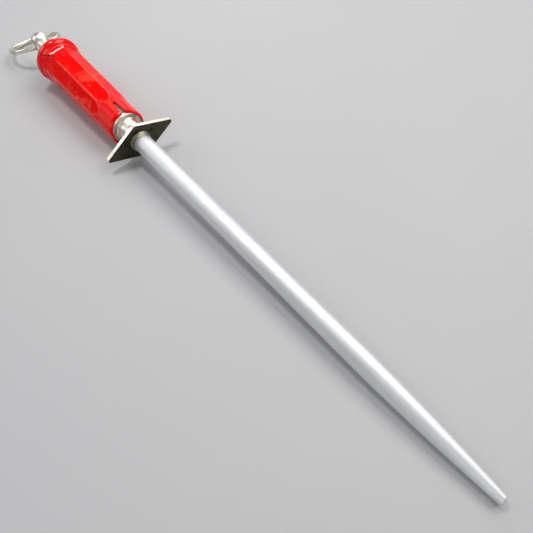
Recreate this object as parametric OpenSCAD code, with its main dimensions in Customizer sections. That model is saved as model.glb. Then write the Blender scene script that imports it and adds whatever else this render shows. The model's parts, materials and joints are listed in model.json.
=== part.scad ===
// Butcher's knife sharpening steel, lying at rest on a flat surface.
// Each part is drawn along the steel's own axis: the guard's front face is at 0, the tip is at +X
// and the handle at -X. lay() then sets it down on z = 0, on its pommel rim and its rod's taper.

/* [Rod] */
// Diameter of the sharpening rod
rod_d = 13; // [10:0.5:14]
// Length of the rod in front of the guard
rod_len = 300; // [250:5:355]
// Distance from the guard at which the rod starts to taper
taper_start = 204; // [180:1:240]
// Diameter of the rod's blunt end
tip_d = 5.6; // [5:0.1:8]
// Diameter of the tang inside the handle
tang_d = 8; // [6:0.5:9]

/* [Guard] */
// Width of the diamond guard over its side corners, before they are rounded
guard_w = 57.2; // [50:0.2:64]
// Height of the diamond guard over its top and bottom corners, before they are rounded
guard_h = 28; // [24:0.2:28]
// Thickness of the guard
guard_t = 2.5; // [2:0.25:4]

/* [Handle] */
// Distance behind the guard at which the handle begins
mouth_x = 18.2; // [17:0.1:18.8]
// Length of the handle
handle_len = 104; // [100:1:112]
// Distance across the flats of the eight-sided grip, at its middle
flats_w = 27; // [26.5:0.1:28]
// Diameter of the grip over its rounded corners, at its middle
corner_d = 28.9; // [28.4:0.1:30]
// Diameter of the pommel's rim
rim_d = 34.8; // [34.4:0.1:37]
// Turn of the guard and handle about the steel's axis
roll = 9; // [5:0.5:15]
// Length of the sliver that is missing from the handle's mouth
slot_len = 13; // [8:0.2:18]
// Width of the missing sliver
slot_w = 3; // [1:0.1:3.4]

/* [Swivel and ring] */
// Diameter of the swivel eye's ball
ball_d = 15.4; // [14.4:0.1:15.8]
// Distance of the ball's centre behind the handle's end
ball_reach = 24.8; // [24.4:0.1:27]
// Diameter of the hole across the ball
eye_hole_d = 8.4; // [8.2:0.1:8.8]
// Outer diameter of the hanging ring
ring_d = 44.5; // [42:0.5:48]
// Diameter of the ring's wire
wire_d = 3.5; // [3:0.1:3.5]

/* [Hidden] */
$fn = 96;

// Clearances: between parts that stay together, in the swivel's journal, and between moving parts
fit_gap = 0.05;
journal_gap = 0.08;
loose_gap = 0.4;

// Stations along the steel's axis, from the guard back to the ball
collar_len = 3.6;
bolster_back = -9.4;
flange_front = -16.2;
flange_back = -19.2;
sleeve_front = -20;
spigot_back = -26;
sleeve_back = -38;
mouth_face = -mouth_x;
butt_face = -mouth_x - handle_len;
washer_t = 1.2;
nut_face = butt_face - washer_t;
nut_front = butt_face + 18;
tang_back = nut_front - 9;
nut_wall_x = nut_face - 7.2;
nut_back = nut_face - 13.5;
ball_c = butt_face - ball_reach;

// Radii about the axis
rod_r = rod_d / 2;
seat_r = rod_r - 0.4;
tip_r = tip_d / 2;
tip_edge = 1.2;
tang_r = tang_d / 2;
collar_r = 7.8;
neck_r = 8.2;
flange_r = 11.4;
mouth_r = 12.8;
sleeve_in_r = 8.6;
corner_r = corner_d / 2;
flat_r = flats_w / 2;
rim_r = rim_d / 2;
rim_bead = 4.2;
rim_x = butt_face + 5.4;
nut_barrel_r = 8;
nut_flange_r = 10.8;
nut_neck_r = 4.7;
shank_r = 2.5;
head_r = 3.6;
head_t = 2.4;
eye_neck_r = 4.2;

// Swivel eye and ring; the wire hangs low and to the front in its hole
ball_r = ball_d / 2;
hole_r = eye_hole_d / 2;
wire_r = wire_d / 2;
ring_r = ring_d / 2 - wire_r;
wire_dx = 0.6;
wire_dz = -2.1;

// How the steel lies: on the bead of its pommel rim and on the belly of the rod's taper, where the
// taper's slope equals the tilt; the two are found together in a few rounds
taper_len = rod_len - tip_edge - taper_start;
taper_power = 1.8;
function belly(t) = pow(tan(t) * taper_len / (taper_power * (rod_r - tip_r)), 1 / (taper_power - 1));
function tilt_on(s) =
  let (across = taper_start + taper_len * s - rim_x, drop = taper_r(s) - (rim_r - rim_bead))
  asin(rim_bead / norm([across, drop])) - atan2(drop, across);
function settle(t, rounds) = rounds == 0 ? t : settle(tilt_on(belly(t)), rounds - 1);
tilt = settle(2, 8);
axis_h = rim_x * sin(tilt) + (rim_r - rim_bead) * cos(tilt) + rim_bead;

// The ring leans out and down from its hole until it touches the surface
hole_pos = [ball_c * cos(tilt), 0, axis_h - ball_c * sin(tilt)];
ring_lean = asin((hole_pos[2] + wire_dz - wire_r) / (2 * ring_r));
ring_c = hole_pos + [wire_dx - ring_r * cos(ring_lean), 0, wire_dz - ring_r * sin(ring_lean)];

// Middle of the whole object along X
low_x = ring_c[0] - ring_r * cos(ring_lean) - wire_r;
high_x = rod_len * cos(tilt) + (tip_r - tip_edge) * sin(tilt);
mid_x = (low_x + high_x) / 2;

// Lays down what is drawn along the steel's own axis
module lay() {
  translate([-mid_x, 0, axis_h]) rotate([0, tilt, 0]) children();
}

// Turns an outline of [station, radius] points about the X axis
module turned(outline) {
  rotate([0, 90, 0]) rotate_extrude() polygon([for (p = outline) [p[1], p[0]]]);
}

// A round bar, or a bored tube, between two stations
module bar(x0, x1, r, inner = 0) {
  low = min(x0, x1);
  len = abs(x1 - x0);
  translate([low, 0, 0]) rotate([0, 90, 0]) difference() {
    cylinder(h = len, r = r);
    if (inner > 0) translate([0, 0, -1]) cylinder(h = len + 2, r = inner);
  }
}

// Points of an arc about [cx, cr], from angle a0 to angle a1
function arc(cx, cr, rad, a0, a1, steps = 8) =
  [for (i = [0:steps]) let (a = a0 + (a1 - a0) * i / steps) [cx + rad * cos(a), cr + rad * sin(a)]];

// Points of a soft curve that leaves p level and arrives at q level
function ease(p, q, steps = 6) =
  [for (i = [1:steps]) let (s = i / steps)
    [p[0] + (q[0] - p[0]) * s, p[1] + (q[1] - p[1]) * s * s * (3 - 2 * s)]];

// Rod radius at a share s of the taper
function taper_r(s) = rod_r - (rod_r - tip_r) * pow(s, taper_power);

module sharpening_rod() {
  steps = 24;
  chamfer = 0.6;
  color("gainsboro") lay() turned(concat(
    [[tang_back, 0], [tang_back, tang_r - chamfer], [tang_back + chamfer, tang_r],
     [0, tang_r], [0, seat_r], [collar_len, seat_r], [collar_len, rod_r], [taper_start, rod_r]],
    [for (i = [1:steps - 1]) [taper_start + taper_len * i / steps, taper_r(i / steps)]],
    arc(rod_len - tip_edge, tip_r - tip_edge, tip_edge, 90, 0),
    [[rod_len, 0]]));
}

module front_collar() {
  lip = 0.8;
  color("silver") lay() turned([
    [0, seat_r], [0, collar_r], [lip, collar_r], [collar_len - 0.6, rod_r + 0.6],
    [collar_len, rod_r + 0.3], [collar_len, seat_r]]);
}

// Rounded diamond outline
module diamond(w, h, side_round, top_round) {
  slope = atan2(h, w);
  side_x = w / 2 - side_round / sin(slope);
  top_y = h / 2 - top_round / cos(slope);
  hull() for (s = [-1, 1]) {
    translate([s * side_x, 0]) circle(r = side_round, $fn = 32);
    translate([0, s * top_y]) circle(r = top_round, $fn = 32);
  }
}

module guard_plate() {
  side_round = 1.4;
  top_round = 5;
  color("silver") lay() rotate([roll, 0, 0]) difference() {
    translate([-guard_t, 0, 0]) rotate([90, 0, 90])
      linear_extrude(guard_t) diamond(guard_w, guard_h, side_round, top_round);
    bar(-guard_t - 1, 1, tang_r);
  }
}

module guard_bolster() {
  flare = 3;
  chamfer = 0.3;
  color("silver") lay() turned(concat(
    [[-guard_t, tang_r]],
    arc(-guard_t - flare, neck_r + flare, flare, 0, -90),
    [[bolster_back + chamfer, neck_r], [bolster_back, neck_r - chamfer], [bolster_back, tang_r]]));
}

module ferrule() {
  root = 1.6;
  chamfer = 0.3;
  color("silver") lay() turned(concat(
    [[bolster_back, tang_r], [bolster_back, neck_r - chamfer], [bolster_back - chamfer, neck_r]],
    arc(flange_front + root, neck_r + root, root, 270, 180),
    [[flange_front, flange_r - chamfer], [flange_front - chamfer, flange_r], [flange_back, flange_r],
     [flange_back, sleeve_in_r], [spigot_back, sleeve_in_r], [spigot_back, tang_r]]));
}

module ferrule_sleeve() {
  color("dimgray") lay() bar(sleeve_front, sleeve_back, flange_r, sleeve_in_r);
}

// Outline of the handle as turned, before its flats are cut
function grip_outline() =
  let (groove = [rim_x + 4.6, rim_r - 2], flare = [rim_x + 7.6, rim_r - 1.3],
       waist = [rim_x + 21, corner_r + 0.4], middle = [rim_x + 52, corner_r],
       shoulder = [-44, corner_r - 0.3], neck = [-29, mouth_r])
  concat(
    [[butt_face, 0], [butt_face, rim_r - rim_bead - 1.2]],
    arc(rim_x, rim_r - rim_bead, rim_bead, 180, 50, 10),
    [groove], ease(groove, flare, 4), ease(flare, waist, 8), ease(waist, middle, 3),
    [shoulder], ease(shoulder, neck, 6),
    [[mouth_face - 0.5, mouth_r], [mouth_face, mouth_r - 0.5], [mouth_face, 0]]);

// Height of one flat along the grip: nearly level, then scooped up towards the pommel
function flat_outline() =
  let (scoop = 9, scoop_x = rim_x + 12.6, rise = rim_r + 2)
  concat(
    [[butt_face - 1, rise]],
    arc(scoop_x, flat_r + 0.3 + scoop, scoop, 205, 270),
    [[rim_x + 52, flat_r], [-40, flat_r - 0.3], [mouth_face + 1, flat_r - 0.3]]);

// The space between two opposite flats
module between_flats() {
  top = flat_outline();
  last = len(top) - 1;
  rotate([90, 0, 0]) linear_extrude(3 * rim_d, center = true)
    polygon(concat(top, [for (i = [last:-1:0]) [top[i][0], -top[i][1]]]));
}

module handle_grip() {
  slot_turn = 10.5;
  color("red") lay() rotate([roll, 0, 0]) difference() {
    intersection() {
      turned(grip_outline());
      between_flats();
      rotate([45, 0, 0]) between_flats();
      rotate([90, 0, 0]) between_flats();
      rotate([135, 0, 0]) between_flats();
    }
    bar(mouth_face + 1, sleeve_back, flange_r + fit_gap);
    bar(sleeve_back + 1, nut_front - 1, tang_r + fit_gap);
    bar(butt_face - 1, nut_front, nut_barrel_r + fit_gap);
    rotate([-slot_turn, 0, 0]) translate([mouth_face - slot_len, -slot_w / 2, tang_r])
      cube([slot_len + 1, slot_w, mouth_r]);
  }
}

module butt_washer() {
  color("silver") lay() bar(butt_face, nut_face, nut_flange_r + 1, nut_barrel_r + fit_gap);
}

module swivel_nut() {
  rim_t = 1.4;
  color("silver") lay() turned(concat(
    [[nut_front, tang_r + fit_gap], [nut_front, nut_barrel_r], [nut_face, nut_barrel_r],
     [nut_face, nut_flange_r], [nut_face - rim_t + 0.4, nut_flange_r], [nut_face - rim_t, nut_flange_r - 0.4]],
    arc(nut_face - rim_t - 6, nut_neck_r + 5.2, 5.2, 0, -90),
    [[nut_back + 0.3, nut_neck_r], [nut_back, nut_neck_r - 0.3], [nut_back, shank_r + journal_gap],
     [nut_wall_x, shank_r + journal_gap], [nut_wall_x, tang_r + fit_gap]]));
}

module thrust_washer() {
  color("goldenrod") lay() bar(nut_wall_x, nut_wall_x + washer_t, tang_r, shank_r + loose_gap);
}

module swivel_eye() {
  head_back = nut_wall_x + washer_t + loose_gap;
  neck_front = nut_back - loose_gap;
  sink = 1.8;
  sink_y = 4;
  color("silver") lay() difference() {
    union() {
      bar(head_back, head_back + head_t, head_r);
      bar(head_back + 0.5, neck_front - 1, shank_r);
      bar(neck_front, ball_c + 3, eye_neck_r);
      translate([ball_c, 0, 0]) rotate([0, 90, 0]) sphere(r = ball_r);
    }
    translate([ball_c, 0, 0]) rotate([90, 0, 0]) cylinder(h = 2 * ball_d, r = hole_r, center = true);
    for (s = [-1, 1]) translate([ball_c, s * sink_y, 0]) rotate([-s * 90, 0, 0])
      cylinder(h = 2 * sink, r1 = hole_r, r2 = hole_r + sink);
  }
}

module hanging_ring() {
  color("silver") translate(ring_c - [mid_x, 0, 0]) rotate([0, -ring_lean, 0])
    rotate_extrude($fn = 144) translate([ring_r, 0]) circle(r = wire_r, $fn = 48);
}

sharpening_rod();
front_collar();
guard_plate();
guard_bolster();
ferrule();
ferrule_sleeve();
handle_grip();
butt_washer();
swivel_nut();
thrust_washer();
swivel_eye();
hanging_ring();
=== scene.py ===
"""Knife sharpening steel: the looks of each piece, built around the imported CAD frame."""
import json
import math
import bpy
import bmesh
from mathutils import Matrix, Vector


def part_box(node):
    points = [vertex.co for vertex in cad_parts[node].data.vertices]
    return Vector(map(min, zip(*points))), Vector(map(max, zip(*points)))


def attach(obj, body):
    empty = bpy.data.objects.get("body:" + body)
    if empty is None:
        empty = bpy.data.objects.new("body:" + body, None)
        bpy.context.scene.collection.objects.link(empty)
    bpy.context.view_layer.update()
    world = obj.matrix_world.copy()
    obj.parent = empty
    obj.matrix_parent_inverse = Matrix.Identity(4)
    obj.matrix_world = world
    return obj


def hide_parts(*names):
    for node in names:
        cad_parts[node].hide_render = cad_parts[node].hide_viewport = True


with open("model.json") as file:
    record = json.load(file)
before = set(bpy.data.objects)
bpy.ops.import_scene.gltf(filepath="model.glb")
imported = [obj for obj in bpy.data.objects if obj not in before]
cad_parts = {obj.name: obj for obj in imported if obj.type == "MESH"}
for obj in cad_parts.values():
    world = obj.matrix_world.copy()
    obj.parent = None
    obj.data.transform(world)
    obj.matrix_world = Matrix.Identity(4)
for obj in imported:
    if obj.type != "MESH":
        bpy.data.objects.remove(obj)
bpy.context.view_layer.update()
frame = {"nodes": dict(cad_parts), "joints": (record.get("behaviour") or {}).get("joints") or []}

MM = 0.001

# ---------------------------------------------------------------- the steel's own frame
# X runs along the steel towards its tip, 0 is the guard's front face, sizes are in millimetres.
NUT_BACK = -136.9
swivel = next(j for j in frame["joints"] if j["name"] == "eye_swivel")
axis = Vector(swivel["axis"]).normalized()
guard_front = Vector(swivel["pos_m"]) - axis * NUT_BACK * MM
TILT = math.asin(-axis.z)
ROLL = math.radians(9)
STEEL = Matrix.Translation(guard_front) @ Matrix.Rotation(TILT, 4, "Y") @ Matrix.Scale(MM, 4)
ROLLED = STEEL @ Matrix.Rotation(ROLL, 4, "X")


# ---------------------------------------------------------------- mesh helpers
def finish_mesh(name, bm, crease=35):
    """Makes an object of bm, still in millimetres."""
    bmesh.ops.recalc_face_normals(bm, faces=bm.faces)
    mesh = bpy.data.meshes.new(name)
    bm.to_mesh(mesh)
    bm.free()
    mesh.polygons.foreach_set("use_smooth", [True] * len(mesh.polygons))
    mesh.set_sharp_from_angle(angle=math.radians(crease))
    obj = bpy.data.objects.new(name, mesh)
    bpy.context.scene.collection.objects.link(obj)
    return obj


def carve(obj, tool, crease=40):
    """Cuts tool out of obj and removes tool."""
    cut = obj.modifiers.new("cut", "BOOLEAN")
    cut.object = tool
    cut.operation = "DIFFERENCE"
    cut.solver = "EXACT"
    graph = bpy.context.evaluated_depsgraph_get()
    made = bpy.data.meshes.new_from_object(obj.evaluated_get(graph))
    obj.modifiers.clear()
    obj.data = made
    made.set_sharp_from_angle(angle=math.radians(crease))
    bpy.data.objects.remove(tool)


def ring_grid(rings, closed):
    """A skin over rings of points. If closed, the last ring joins the first, else both ends are capped."""
    bm = bmesh.new()
    rows = [[bm.verts.new(p) for p in ring] for ring in rings]
    count = len(rows[0])
    pairs = list(zip(rows, rows[1:] + rows[:1])) if closed else list(zip(rows, rows[1:]))
    for low, high in pairs:
        for i in range(count):
            k = (i + 1) % count
            bm.faces.new((low[i], low[k], high[k], high[i]))
    if not closed:
        bm.faces.new(list(reversed(rows[0])))
        bm.faces.new(rows[-1])
    return bm


def circle_ring(x, r, steps):
    """Points of a circle about the X axis, from +Z round towards +Y."""
    return [(x, r * math.sin(2 * math.pi * i / steps), r * math.cos(2 * math.pi * i / steps))
            for i in range(steps)]


def lathe(name, outline, closed=True, crease=35):
    """Turns an outline of (x, r) points about the steel's axis."""
    return finish_mesh(name, ring_grid([circle_ring(x, r, 96) for x, r in outline], closed), crease)


def arc(cx, cr, rad, a0, a1, steps):
    """Outline points round (cx, cr), from angle a0 to a1 in degrees."""
    return [(cx + rad * math.cos(math.radians(a0 + (a1 - a0) * i / steps)),
             cr + rad * math.sin(math.radians(a0 + (a1 - a0) * i / steps))) for i in range(steps + 1)]


def smooth(s):
    """Eases from 0 to 1 as s goes from 0 to 1, and stays level outside that."""
    s = min(1.0, max(0.0, s))
    return s * s * (3 - 2 * s)


def follow(keys, x):
    """Value at x of a curve that eases level from each (x, value) key to the next."""
    for (x0, v0), (x1, v1) in zip(keys, keys[1:]):
        if x <= x1:
            return v0 + (v1 - v0) * smooth((x - x0) / (x1 - x0))
    return keys[-1][1]


def soft_min(a, b, k):
    """The smaller of a and b, rounded off where they come within k of each other."""
    h = min(1.0, max(0.0, 0.5 + 0.5 * (b - a) / k))
    return b + (a - b) * h - k * h * (1 - h)


def spread(x0, x1, step):
    """Even stations from x0, about step apart, that stop one short of x1."""
    count = max(1, round(abs(x1 - x0) / step))
    return [x0 + (x1 - x0) * i / count for i in range(count)]


def place(obj, matrix, body, node):
    """Puts obj's mesh where matrix says, and makes it ride on body in place of the CAD's node."""
    obj.data.transform(matrix)
    obj.data.update()
    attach(obj, body)
    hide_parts(node)


# ---------------------------------------------------------------- materials
class Nodes:
    """A small builder of one material's node tree."""

    def __init__(self, name, **sockets):
        self.material = bpy.data.materials.new(name)
        self.material.use_nodes = True
        self.tree = self.material.node_tree
        self.shader = self.tree.nodes["Principled BSDF"]
        for key, value in sockets.items():
            self.shader.inputs[key.replace("_", " ")].default_value = value

    def add(self, kind, inputs=(), **settings):
        made = self.tree.nodes.new(kind)
        for key, value in settings.items():
            setattr(made, key, value)
        for key, value in dict(inputs).items():
            if isinstance(value, bpy.types.NodeSocket):
                self.tree.links.new(value, made.inputs[key])
            else:
                made.inputs[key].default_value = value
        return made

    def link(self, out, to):
        self.tree.links.new(out, self.shader.inputs[to])

    def place(self):
        """Where the point is in the steel's own frame, in metres."""
        at = self.add("ShaderNodeTexCoord").outputs["Object"]
        inputs = {"Vector": at, "Location": guard_front, "Rotation": (0, TILT, 0)}
        return self.add("ShaderNodeMapping", inputs, vector_type="TEXTURE").outputs["Vector"]

    def scaled(self, vector, scale):
        return self.add("ShaderNodeMapping", {"Vector": vector, "Scale": scale}).outputs["Vector"]

    def noise(self, vector, scale, detail, rough=0.55):
        made = self.add("ShaderNodeTexNoise",
                        {"Vector": vector, "Scale": scale, "Detail": detail, "Roughness": rough})
        return made.outputs["Fac"]

    def ramp(self, value, low, high, out_low=0.0, out_high=1.0):
        made = self.add("ShaderNodeMapRange", {"Value": value, "From Min": low, "From Max": high,
                                               "To Min": out_low, "To Max": out_high})
        made.interpolation_type = "SMOOTHSTEP"
        return made.outputs["Result"]

    def math(self, operation, a, b):
        return self.add("ShaderNodeMath", {0: a, 1: b}, operation=operation).outputs[0]

    def mix(self, factor, a, b):
        made = self.add("ShaderNodeMix", {"Factor": factor, 6: a, 7: b}, data_type="RGBA")
        return made.outputs[2]

    def attribute(self, name):
        return self.add("ShaderNodeAttribute", attribute_name=name).outputs["Fac"]

    def bump(self, height, distance, strength):
        made = self.add("ShaderNodeBump", {"Height": height, "Distance": distance, "Strength": strength})
        self.link(made.outputs["Normal"], "Normal")

    def around(self, vector):
        """Coordinates along the axis and round it, for streaks that run lengthwise."""
        parts = self.add("ShaderNodeSeparateXYZ", {"Vector": vector})
        turn = self.math("ARCTAN2", parts.outputs["Y"], parts.outputs["Z"])
        return parts.outputs["X"], turn


def nickel(name, tint=(0.90, 0.87, 0.79), dull=(0.42, 0.38, 0.26), amount=0.35, rough=0.3):
    m = Nodes(name, Metallic=1.0)
    place_in = m.place()
    clouds = m.noise(place_in, 160, 5)
    spots = m.noise(place_in, 900, 3)
    worn = m.ramp(clouds, 0.5, 0.72, 0.0, amount)
    m.link(m.mix(worn, (*tint, 1), (*dull, 1)), "Base Color")
    m.link(m.ramp(clouds, 0.3, 0.75, rough, rough + 0.16), "Roughness")
    m.bump(m.math("ADD", m.math("MULTIPLY", clouds, 0.6), m.math("MULTIPLY", spots, 0.25)), 0.00006, 0.6)
    return m.material


def rod_steel():
    m = Nodes("rod_steel", Metallic=0.7)
    along, turn = m.around(m.place())
    streak_at = m.add("ShaderNodeCombineXYZ",
                      {"X": m.math("MULTIPLY", along, 9.0), "Y": m.math("MULTIPLY", turn, 14.0)})
    fine_at = m.add("ShaderNodeCombineXYZ",
                    {"X": m.math("MULTIPLY", along, 60.0), "Y": m.math("MULTIPLY", turn, 60.0)})
    streaks = m.noise(streak_at.outputs[0], 1.0, 5)
    fine = m.noise(fine_at.outputs[0], 1.0, 4)
    tone = m.math("ADD", m.math("MULTIPLY", streaks, 0.6), m.math("MULTIPLY", fine, 0.4))
    m.link(m.mix(m.ramp(tone, 0.35, 0.65), (0.74, 0.75, 0.77, 1), (0.88, 0.885, 0.90, 1)), "Base Color")
    m.link(m.ramp(tone, 0.3, 0.7, 0.42, 0.55), "Roughness")
    m.bump(fine, 0.00005, 0.5)
    return m.material


def red_plastic():
    m = Nodes("red_plastic", Specular_IOR_Level=0.1, Coat_Roughness=0.1)
    at = m.place()
    blotch = m.noise(m.scaled(at, (0.7, 1.0, 1.0)), 120, 4, 0.6)
    small = m.noise(at, 420, 3)
    along, _ = m.around(at)
    # Painted sheen: lighter pink patches laid on a random mottle, strongest along the middle of the grip's
    # length
    sheen_band = m.math("MULTIPLY", m.ramp(along, -0.09, -0.06), m.ramp(along, -0.03, -0.05))
    mottle = m.math("ADD", m.math("MULTIPLY", blotch, 0.75), m.math("MULTIPLY", small, 0.25))
    sheen_patches = m.math("MULTIPLY", m.ramp(mottle, 0.5, 0.62, 0.0, 0.5),
                     m.math("ADD", m.math("MULTIPLY", sheen_band, 0.8), 0.2))
    # Painted highlight: a lighter pink along the ridges where the flats meet the round body, of random
    # strength
    ridge = m.math("MULTIPLY", m.attribute("ridge"), m.ramp(small, 0.35, 0.6, 0.35, 0.8))
    # Deep red, eased to pink where the painted sheen lies
    red = m.mix(sheen_patches, (0.92, 0.0015, 0.0005, 1), (1.0, 0.10, 0.06, 1))
    red = m.mix(m.math("MULTIPLY", ridge, 0.45), red, (1.0, 0.16, 0.11, 1))
    m.link(m.mix(m.attribute("crack"), red, (0.05, 0.004, 0.003, 1)), "Base Color")
    m.link(m.math("MULTIPLY", m.attribute("gloss"), m.ramp(blotch, 0.3, 0.6, 0.9, 0.5)), "Coat Weight")
    m.link(m.ramp(blotch, 0.35, 0.7, 0.15, 0.3), "Roughness")
    m.bump(m.math("ADD", m.math("MULTIPLY", blotch, 0.8), m.math("MULTIPLY", small, 0.15)), 0.00018, 0.5)
    return m.material


def sleeve_steel():
    m = Nodes("sleeve_steel", Metallic=0.3)
    rust = m.noise(m.scaled(m.place(), (0.4, 1.0, 1.0)), 500, 5)
    m.link(m.mix(m.ramp(rust, 0.4, 0.62), (0.30, 0.30, 0.31, 1), (0.14, 0.13, 0.13, 1)), "Base Color")
    m.link(m.ramp(rust, 0.3, 0.7, 0.35, 0.6), "Roughness")
    m.bump(rust, 0.00008, 0.6)
    return m.material


def brass():
    m = Nodes("washer_brass", Metallic=1.0)
    stain = m.noise(m.place(), 700, 4)
    m.link(m.mix(m.ramp(stain, 0.4, 0.65), (0.75, 0.58, 0.28, 1), (0.4, 0.27, 0.12, 1)), "Base Color")
    m.link(m.ramp(stain, 0.3, 0.7, 0.25, 0.45), "Roughness")
    return m.material


def floor_paint():
    m = Nodes("floor", Roughness=0.6)
    tone = m.noise(m.place(), 6, 3)
    m.link(m.mix(tone, (0.50, 0.50, 0.51, 1), (0.54, 0.54, 0.54, 1)), "Base Color")
    return m.material


NICKEL = nickel("nickel_plate")
NICKEL_WORN = nickel("nickel_worn", tint=(0.86, 0.82, 0.70), dull=(0.34, 0.30, 0.19), amount=0.7)
# Nickel for the guard's flat faces: its near-black colour is painted shade
GUARD_FACE_PAINTED_SHADE = nickel("guard_face_painted_shade", tint=(0.075, 0.07, 0.048), dull=(0.03, 0.027, 0.015), amount=0.8,
                    rough=0.26)
COLLAR_DULL = nickel("collar_dull", tint=(0.46, 0.44, 0.34), dull=(0.16, 0.14, 0.08), amount=0.8,
                     rough=0.42)
ROD = rod_steel()
RED = red_plastic()
SLEEVE = sleeve_steel()
BRASS = brass()


def paint(obj, material):
    obj.data.materials.clear()
    obj.data.materials.append(material)
    return obj


# ---------------------------------------------------------------- rod
ROD_R = 6.5
ROD_LEN = 300.0
TAPER_START = 204.0
TIP_R = 2.8
TIP_EDGE = 1.2
TANG_R = 4.0
TANG_BACK = -113.2
NUT_FRONT = -104.2
COLLAR_LEN = 3.6
RIDGES = 72
RIDGE_DEPTH = 0.07


def rod_radius(x):
    s = max(0.0, (x - TAPER_START) / (ROD_LEN - TIP_EDGE - TAPER_START))
    return ROD_R - (ROD_R - TIP_R) * s ** 1.8


def make_rod():
    steps = RIDGES * 4
    stations = [(x, rod_radius(x), 1.0) for x in spread(COLLAR_LEN + 1.5, ROD_LEN - 5, 4.0)]
    stations += [(x, rod_radius(x), smooth((ROD_LEN - 2 - x) / 3))
                 for x in spread(ROD_LEN - 5, ROD_LEN - TIP_EDGE, 0.5)]
    stations += [(x, r, 0.0) for x, r in arc(ROD_LEN - TIP_EDGE, TIP_R - TIP_EDGE, TIP_EDGE, 90, 0, 6)]
    start = [(TANG_BACK, TANG_R - 0.6, 0), (TANG_BACK + 0.6, TANG_R, 0), (0.0, TANG_R, 0),
             (0.0, ROD_R - 0.4, 0), (COLLAR_LEN, ROD_R - 0.4, 0), (COLLAR_LEN, ROD_R - 0.1, 0),
             (COLLAR_LEN + 0.2, ROD_R - 0.02, 0)]
    rings = []
    for x, r, depth in start + stations:
        ring = []
        for i in range(steps):
            turn = 2 * math.pi * i / steps
            cut = depth * RIDGE_DEPTH * (0.5 - 0.5 * math.cos(RIDGES * turn)) * (r / ROD_R)
            ring.append((x, (r - cut) * math.sin(turn), (r - cut) * math.cos(turn)))
        rings.append(ring)
    return paint(finish_mesh("rod", ring_grid(rings, False), 50), ROD)


place(make_rod(), STEEL, "steel", "sharpening_rod")

# ---------------------------------------------------------------- guard, collar, bolster and ferrule
GUARD_W = 57.2
GUARD_H = 28.0
GUARD_T = 2.5


def diamond_points():
    """Outline of the guard with rounded corners, in (y, z)."""
    slope = math.atan2(GUARD_H, GUARD_W)
    side_round, top_round = 1.4, 5.0
    side = GUARD_W / 2 - side_round / math.sin(slope)
    top = GUARD_H / 2 - top_round / math.cos(slope)
    lean = math.pi / 2 - slope
    points = []
    corners = ((side, 0, side_round, 0, lean), (0, top, top_round, math.pi / 2, slope),
               (-side, 0, side_round, math.pi, lean), (0, -top, top_round, -math.pi / 2, slope))
    for cy, cz, rad, middle, half in corners:
        for i in range(9):
            a = middle - half + 2 * half * i / 8
            points.append((cy + rad * math.cos(a), cz + rad * math.sin(a)))
    return points


def make_guard():
    bm = ring_grid([[(x, y, z) for y, z in diamond_points()] for x in (-GUARD_T, 0.0)], False)
    rims = [e for e in bm.edges if abs(e.verts[0].co.x - e.verts[1].co.x) < 1e-6]
    bmesh.ops.bevel(bm, geom=rims, offset=0.45, segments=3, profile=0.5, affect="EDGES")
    obj = finish_mesh("guard", bm, 25)
    obj.data.materials.append(NICKEL)
    obj.data.materials.append(GUARD_FACE_PAINTED_SHADE)
    # The faces that look along the axis get the nickel with the painted shade
    for face in obj.data.polygons:
        if abs(face.normal.x) > 0.99:
            face.material_index = 1
    return obj


place(make_guard(), ROLLED, "steel", "guard_plate")

COLLAR_R = 7.8
NECK_R = 8.2
FLANGE_R = 11.4
BOLSTER_BACK = -9.4
FLANGE_FRONT = -16.2
FLANGE_BACK = -19.2
SPIGOT_R = 8.6
SPIGOT_BACK = -26.0
SLEEVE_BACK = -38.0

collar = lathe("front_ring", [(0.0, ROD_R - 0.4), (0.0, COLLAR_R)] + arc(0.5, COLLAR_R - 0.3, 0.3, 90, 20, 4)
               + [(1.6, ROD_R + 0.75), (2.6, ROD_R + 0.5)] + arc(COLLAR_LEN - 0.2, ROD_R + 0.2, 0.2, 80, 0, 3)
               + [(COLLAR_LEN, ROD_R - 0.4)])
place(paint(collar, COLLAR_DULL), STEEL, "steel", "front_collar")

bolster = lathe("bolster", [(-GUARD_T, TANG_R)] + arc(-GUARD_T - 3, NECK_R + 3, 3.0, 0, -90, 12)
                + arc(BOLSTER_BACK + 0.4, NECK_R - 0.4, 0.4, 90, 180, 4) + [(BOLSTER_BACK, TANG_R)])
place(paint(bolster, NICKEL), STEEL, "steel", "guard_bolster")

ferrule = lathe("ferrule_ring", [(BOLSTER_BACK, TANG_R)]
                + arc(BOLSTER_BACK - 0.4, NECK_R - 0.4, 0.4, 0, 90, 4)
                + arc(FLANGE_FRONT + 1.6, NECK_R + 1.6, 1.6, 270, 180, 8)
                + arc(FLANGE_FRONT - 0.4, FLANGE_R - 0.4, 0.4, 0, 90, 4)
                + [(FLANGE_BACK, FLANGE_R), (FLANGE_BACK, SPIGOT_R), (SPIGOT_BACK, SPIGOT_R),
                   (SPIGOT_BACK, TANG_R)])
place(paint(ferrule, NICKEL_WORN), STEEL, "steel", "ferrule")

# ---------------------------------------------------------------- handle
MOUTH = -18.2
BUTT = -122.2
RIM_X = BUTT + 5.4
RIM_R = 17.4
RIM_BEAD = 4.2
BARREL_R = 8.0
GAP = 0.05
CORNER_R = 14.45
FLAT_R = 13.5
MOUTH_R = 12.8
SIDES = 8
FLAT_BLEND = 0.35
# Radius of the round body at each station, before the flats are cut
BODY_KEYS = [(BUTT, 15.0), (RIM_X + 4.6, RIM_R - 2), (RIM_X + 7.6, RIM_R - 1.3),
             (RIM_X + 21, CORNER_R + 0.4), (RIM_X + 52, CORNER_R), (-44.0, CORNER_R - 0.3),
             (-29.0, MOUTH_R), (MOUTH, MOUTH_R)]
SCOOP_R = 9.0
SCOOP_X = RIM_X + 12.6
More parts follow.
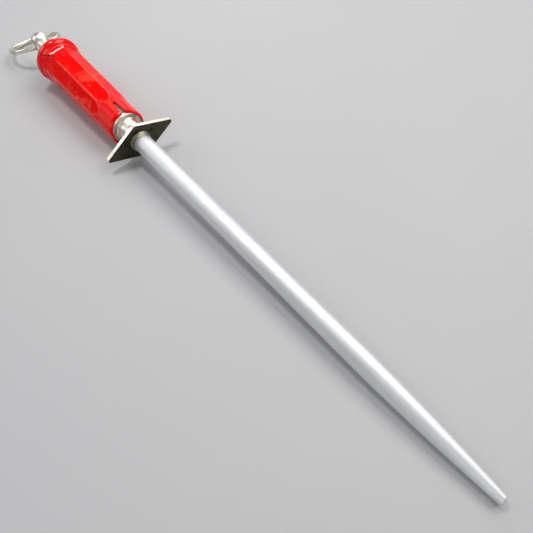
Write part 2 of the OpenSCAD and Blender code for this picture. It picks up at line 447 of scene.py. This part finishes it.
# How far forward the chipped mouth reaches at each turn, in degrees from the top flat
LIP_KEYS = [(-180, -17.0), (-120, -16.2), (-84, -15.9), (-54, -17.6), (-30, -18.3), (18, -18.3), (42, -17.2),
            (52, -16.2), (60, -14.6), (66, -13.2), (74, -15.6), (120, -16.6), (180, -17.0)]
LIP_FROM = -27.0


def turned_radius(x):
    reach = RIM_BEAD ** 2 - (x - RIM_X) ** 2
    bead = RIM_R - RIM_BEAD + math.sqrt(reach) if reach > 0 else 0.0
    return max(bead, follow(BODY_KEYS, x) if x > RIM_X + 2 else 0.0, RIM_R - RIM_BEAD)


def flat_height(x):
    level = FLAT_R - 0.3 * smooth((x + 66) / 26) + 0.3 * smooth((RIM_X + 52 - x) / 36)
    back = SCOOP_X - x
    if back <= 0:
        return level
    if back >= SCOOP_R * 0.96:
        return level + 20
    return level + SCOOP_R - math.sqrt(SCOOP_R ** 2 - back ** 2)


def grip_radius(x, turn):
    pitch = 2 * math.pi / SIDES
    off = (turn + pitch / 2) % pitch - pitch / 2
    return soft_min(turned_radius(x), flat_height(x) / math.cos(off), FLAT_BLEND)


def make_grip():
    steps = 256
    outer = [(BUTT, 12.8)] + [(x, None) for x in spread(BUTT + 0.02, MOUTH - 0.6, 0.5)]
    lip = arc(MOUTH - 0.45, MOUTH_R - 0.45, 0.45, 90, 0, 4)
    bore = FLANGE_R + GAP
    inner = [(MOUTH, bore), (SLEEVE_BACK, bore), (SLEEVE_BACK, TANG_R + GAP), (NUT_FRONT, TANG_R + GAP),
             (NUT_FRONT, BARREL_R + GAP), (BUTT, BARREL_R + GAP)]
    rings = []
    for x, r in outer + lip + inner:
        ring = []
        for i in range(steps):
            turn = 2 * math.pi * i / steps
            reach = r if r is not None else grip_radius(x, turn)
            chip = follow(LIP_KEYS, (math.degrees(turn) + 180) % 360 - 180) - MOUTH
            at = x + chip * smooth((x - LIP_FROM) / (MOUTH - LIP_FROM))
            ring.append((at, reach * math.sin(turn), reach * math.cos(turn)))
        rings.append(ring)
    grip = finish_mesh("grip", ring_grid(rings, True), 40)
    cut_sliver(grip)
    mark_cracks_wear_and_edge_highlights(grip)
    return paint(grip, RED)


SLOT_TURN = math.radians(10.5)
SLOT_BACK = -31.2
MM_PER_DEGREE = 0.26
CRACK_SINK = 0.25


def cut_sliver(grip):
    """Cuts away the missing sliver of the handle's mouth."""
    plan = [(MOUTH + 1, -1.5), (MOUTH + 1, 1.6), (-24.0, 1.5), (SLOT_BACK + 1.4, 1.35), (SLOT_BACK, 0.5),
            (SLOT_BACK + 0.6, -0.9), (-22.0, -1.35)]
    rings = [[(x, y, z) for x, y in plan] for z in (TANG_R + 5, MOUTH_R + 3)]
    knife = finish_mesh("knife", ring_grid(rings, False))
    knife.data.transform(Matrix.Rotation(-SLOT_TURN, 4, "X"))
    carve(grip, knife)


def crack_depth(x, turn, route, width):
    """1 on a crack that runs through route's (x, turn in degrees) points, 0 further than width from it."""
    best = math.inf
    at = Vector((x, math.degrees(turn) * MM_PER_DEGREE))
    for (x0, t0), (x1, t1) in zip(route, route[1:]):
        a, b = Vector((x0, t0 * MM_PER_DEGREE)), Vector((x1, t1 * MM_PER_DEGREE))
        s = min(1.0, max(0.0, (at - a).dot(b - a) / (b - a).length_squared))
        best = min(best, (at - a - (b - a) * s).length)
    return 1 - smooth(best / width)


MOUTH_CRACK = [(SLOT_BACK, 11.5), (-33.0, 10.2), (-35.0, 11.6), (-37.5, 10.6)]
POMMEL_CRACK = [(RIM_X - 3.3, -43.0), (RIM_X, -41.0), (RIM_X + 3.5, -38.5), (RIM_X + 5, -36.0),
                (RIM_X + 9, -28.0), (RIM_X + 13, -17.0)]


def mark_cracks_wear_and_edge_highlights(grip):
    """Writes where the ridges (which carry a painted highlight), the cracks and the glossy coat are, and
    sinks the cracks a little.
    """
    mesh = grip.data
    ridge = mesh.attributes.new("ridge", "FLOAT", "POINT")
    crack = mesh.attributes.new("crack", "FLOAT", "POINT")
    gloss = mesh.attributes.new("gloss", "FLOAT", "POINT")
    pitch = 2 * math.pi / SIDES
    for i, vert in enumerate(mesh.vertices):
        x, y, z = vert.co
        r = math.hypot(y, z)
        if r < FLANGE_R + 0.2:  # the bore
            continue
        turn = math.atan2(y, z)
        off = (turn + pitch / 2) % pitch - pitch / 2
        gap = turned_radius(x) - flat_height(x) / math.cos(off)
        # ridge: where flat meets round, which the material lights with a painted highlight
        ridge.data[i].value = 1 - smooth(abs(gap) / 0.3)
        gloss.data[i].value = max(smooth((SCOOP_X + 1 - x) / 3), 0.4 * ridge.data[i].value)
        sunk = max(0.8 * crack_depth(x, turn, MOUTH_CRACK, 0.45), crack_depth(x, turn, POMMEL_CRACK, 0.7))
        crack.data[i].value = sunk
        if sunk > 0:
            vert.co -= Vector((0, y, z)).normalized() * CRACK_SINK * sunk


place(make_grip(), ROLLED, "steel", "handle_grip")

# ---------------------------------------------------------------- swivel nut, eye and ring
NUT_FACE = BUTT - 1.2
NUT_R = 10.8
NUT_NECK_R = 4.7
NUT_WALL = -130.6
SHANK_R = 2.5
JOURNAL_R = SHANK_R + 0.08
HEAD_FRONT = -126.6
HEAD_BACK = -129.0
HEAD_R = 3.6
EYE_NECK_R = 4.2

nut = lathe("end_nut", [(NUT_FRONT, TANG_R + GAP), (NUT_FRONT, BARREL_R), (NUT_FACE, BARREL_R)]
            + arc(NUT_FACE - 0.3, NUT_R - 0.3, 0.3, 0, 90, 3)
            + arc(NUT_FACE - 1.0, NUT_R - 0.4, 0.4, 90, 180, 4)
            + arc(NUT_FACE - 7.4, NUT_NECK_R + 5.2, 5.2, 0, -90, 14)
            + arc(NUT_BACK + 0.3, NUT_NECK_R - 0.3, 0.3, 90, 180, 4)
            + [(NUT_BACK, JOURNAL_R), (NUT_WALL, JOURNAL_R), (NUT_WALL, TANG_R + GAP)])
place(paint(nut, NICKEL), STEEL, "steel", "swivel_nut")

BALL_X = -147.0
BALL_R = 7.7
HOLE_R = 4.2


def make_eye():
    neck = NUT_BACK - 0.4
    outline = [(HEAD_FRONT, 0.4), (HEAD_FRONT, HEAD_R - 0.3), (HEAD_FRONT - 0.3, HEAD_R),
               (HEAD_BACK + 0.3, HEAD_R), (HEAD_BACK, HEAD_R - 0.3), (HEAD_BACK, SHANK_R), (neck, SHANK_R),
               (neck, EYE_NECK_R - 0.3), (neck - 0.3, EYE_NECK_R)]
    start = math.degrees(math.asin((EYE_NECK_R + 0.5) / BALL_R))
    outline += arc(BALL_X, 0, BALL_R, start, 179.5, 36)
    eye = lathe("ball_eye", outline, closed=False, crease=40)
    profile = [(-12.0, HOLE_R + 3.2), (-6.4, HOLE_R + 0.75), (-5.4, HOLE_R + 0.3), (-4.2, HOLE_R + 0.06)]
    profile += [(0.0, HOLE_R)] + [(-y, r) for y, r in reversed(profile)]
    rings = [[(BALL_X + across, y, up) for _, across, up in circle_ring(y, r, 64)] for y, r in profile]
    carve(eye, finish_mesh("drill", ring_grid(rings, False)), 35)
    return paint(eye, NICKEL)


place(make_eye(), STEEL, "eye", "swivel_eye")

WIRE_R = 1.75
WIRE_JOINT = 2.2  # radians round the ring
JOINT_WIDTH = 0.012
JOINT_DEPTH = 0.07
ring_low, ring_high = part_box("hanging_ring")
ring_r = (ring_high[1] - ring_low[1]) / 2 / MM - WIRE_R
ring_lean = math.asin(((ring_high[2] - ring_low[2]) / MM - 2 * WIRE_R) / (2 * ring_r))
ring_centre = Vector([(a + b) / 2 for a, b in zip(ring_low, ring_high)])
RING = Matrix.Translation(ring_centre) @ Matrix.Rotation(-ring_lean, 4, "Y") @ Matrix.Scale(MM, 4)


def make_ring():
    """The ring, with a faint groove where the wire's ends meet."""
    around, across = 160, 24
    rings = []
    for i in range(around):
        a = 2 * math.pi * i / around
        r = WIRE_R - JOINT_DEPTH * math.exp(-((a - WIRE_JOINT) / JOINT_WIDTH) ** 2)
        rings.append([((ring_r + out) * math.cos(a), (ring_r + out) * math.sin(a), up)
                      for _, up, out in circle_ring(0.0, r, across)])
    return paint(finish_mesh("ring_wire", ring_grid(rings, True), 60), NICKEL_WORN)


place(make_ring(), RING, "ring", "hanging_ring")

# ---------------------------------------------------------------- CAD pieces that keep their shape
paint(frame["nodes"]["ferrule_sleeve"], SLEEVE)
paint(frame["nodes"]["butt_washer"], NICKEL)
paint(frame["nodes"]["thrust_washer"], BRASS)

# ---------------------------------------------------------------- camera, floor and lights
CAMERA_AT = STEEL @ Vector((260.2, -113.5, 250.4))
LOOK_AT = STEEL @ Vector((129.9, 3.9, -9.7))
camera_data = bpy.data.cameras.new("camera")
camera_data.lens = 35.12
camera_data.sensor_width = 36.0
camera_data.clip_start = 0.01
camera = bpy.data.objects.new("camera", camera_data)
camera.location = CAMERA_AT
camera.rotation_euler = (LOOK_AT - CAMERA_AT).to_track_quat("-Z", "Y").to_euler()
bpy.context.scene.collection.objects.link(camera)
bpy.context.scene.camera = camera


def make_floor():
    bm = bmesh.new()
    bmesh.ops.create_grid(bm, x_segments=2, y_segments=2, size=8.0)
    mesh = bpy.data.meshes.new("floor")
    bm.to_mesh(mesh)
    bm.free()
    floor = bpy.data.objects.new("floor", mesh)
    floor.location = (0, 0, -0.0002)
    bpy.context.scene.collection.objects.link(floor)
    paint(floor, floor_paint())


def area_light(name, at, aim, size, power, colour=(1, 1, 1)):
    data = bpy.data.lights.new(name, "AREA")
    data.shape = "RECTANGLE"
    data.size, data.size_y = size
    data.energy = power
    data.color = colour
    light = bpy.data.objects.new(name, data)
    light.location = at
    light.rotation_euler = (Vector(aim) - Vector(at)).to_track_quat("-Z", "Y").to_euler()
    bpy.context.scene.collection.objects.link(light)


make_floor()
area_light("key", (0.15, 0.65, 0.85), (0.05, 0.0, 0.0), (0.9, 0.6), 6.5, (1.0, 0.99, 0.97))
area_light("top", (-0.35, 0.04, 0.95), (-0.1, 0.0, 0.0), (0.22, 0.22), 3)
area_light("right_window", (-0.85, 0.6, 0.6), (-0.1, 0.0, 0.0), (0.6, 0.7), 2.6)
area_light("left_window", (-0.85, -0.6, 0.62), (-0.1, 0.0, 0.0), (0.6, 0.5), 2)
area_light("fill", (0.75, -0.75, 0.6), (0.0, 0.0, 0.0), (0.8, 0.8), 2.6)

world = bpy.data.worlds.new("studio")
world.use_nodes = True
world.node_tree.nodes["Background"].inputs["Color"].default_value = (0.9, 0.93, 1.0, 1)
world.node_tree.nodes["Background"].inputs["Strength"].default_value = 0.22
bpy.context.scene.world = world
bpy.context.scene.view_settings.view_transform = "Standard"
